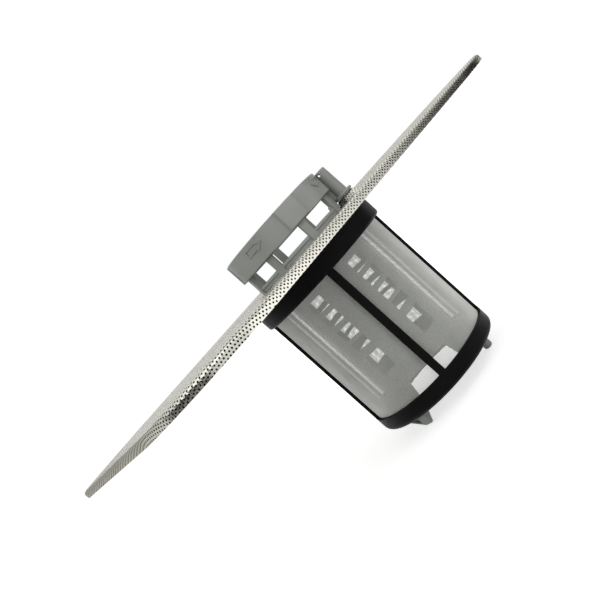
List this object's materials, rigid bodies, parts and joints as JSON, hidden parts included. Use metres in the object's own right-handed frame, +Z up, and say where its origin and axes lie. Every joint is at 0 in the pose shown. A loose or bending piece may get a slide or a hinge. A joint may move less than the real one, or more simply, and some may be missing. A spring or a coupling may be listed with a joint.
{
  "type": "dishwasher drain filter",
  "caption": "Dishwasher drain filter: perforated steel plate in a rounded triangle, black framed mesh cylinder below it and a grey slotted basket with a scalloped turning grip.",
  "frame": {"origin": "filter axis at the level of the tub floor, where the lower edge of the plate's rim rests, inside the flange that sits in the drain well", "axes": "+Z up along the filter axis out of the drain well, -Y to the front where the open arrow is, +X to the right towards the upright stud"},
  "size_m": [0.327, 0.298, 0.1231],
  "materials": {
    "perforated_steel": "bright rolled stainless sheet, finely perforated",
    "black_plastic": "satin moulded plastic",
    "woven_mesh": "pale woven monofilament",
    "grey_plastic": "fine satin moulded plastic",
    "grey_plastic_basket": "fine satin moulded plastic"
  },
  "bodies": {
    "seat": {"strainer_plate": "perforated_steel", "microfilter_frame": "black_plastic", "fine_mesh": "woven_mesh"},
    "coarse_filter": {"grip_ring": "grey_plastic", "coarse_basket": "grey_plastic_basket"}
  },
  "joints": [
    {"name": "turn_to_open", "type": "hinge", "parent": "seat", "child": "coarse_filter", "pos_m": [0, 0, 0], "axis": [0, 0, 1], "range_deg": [0, 45]}
  ]
}
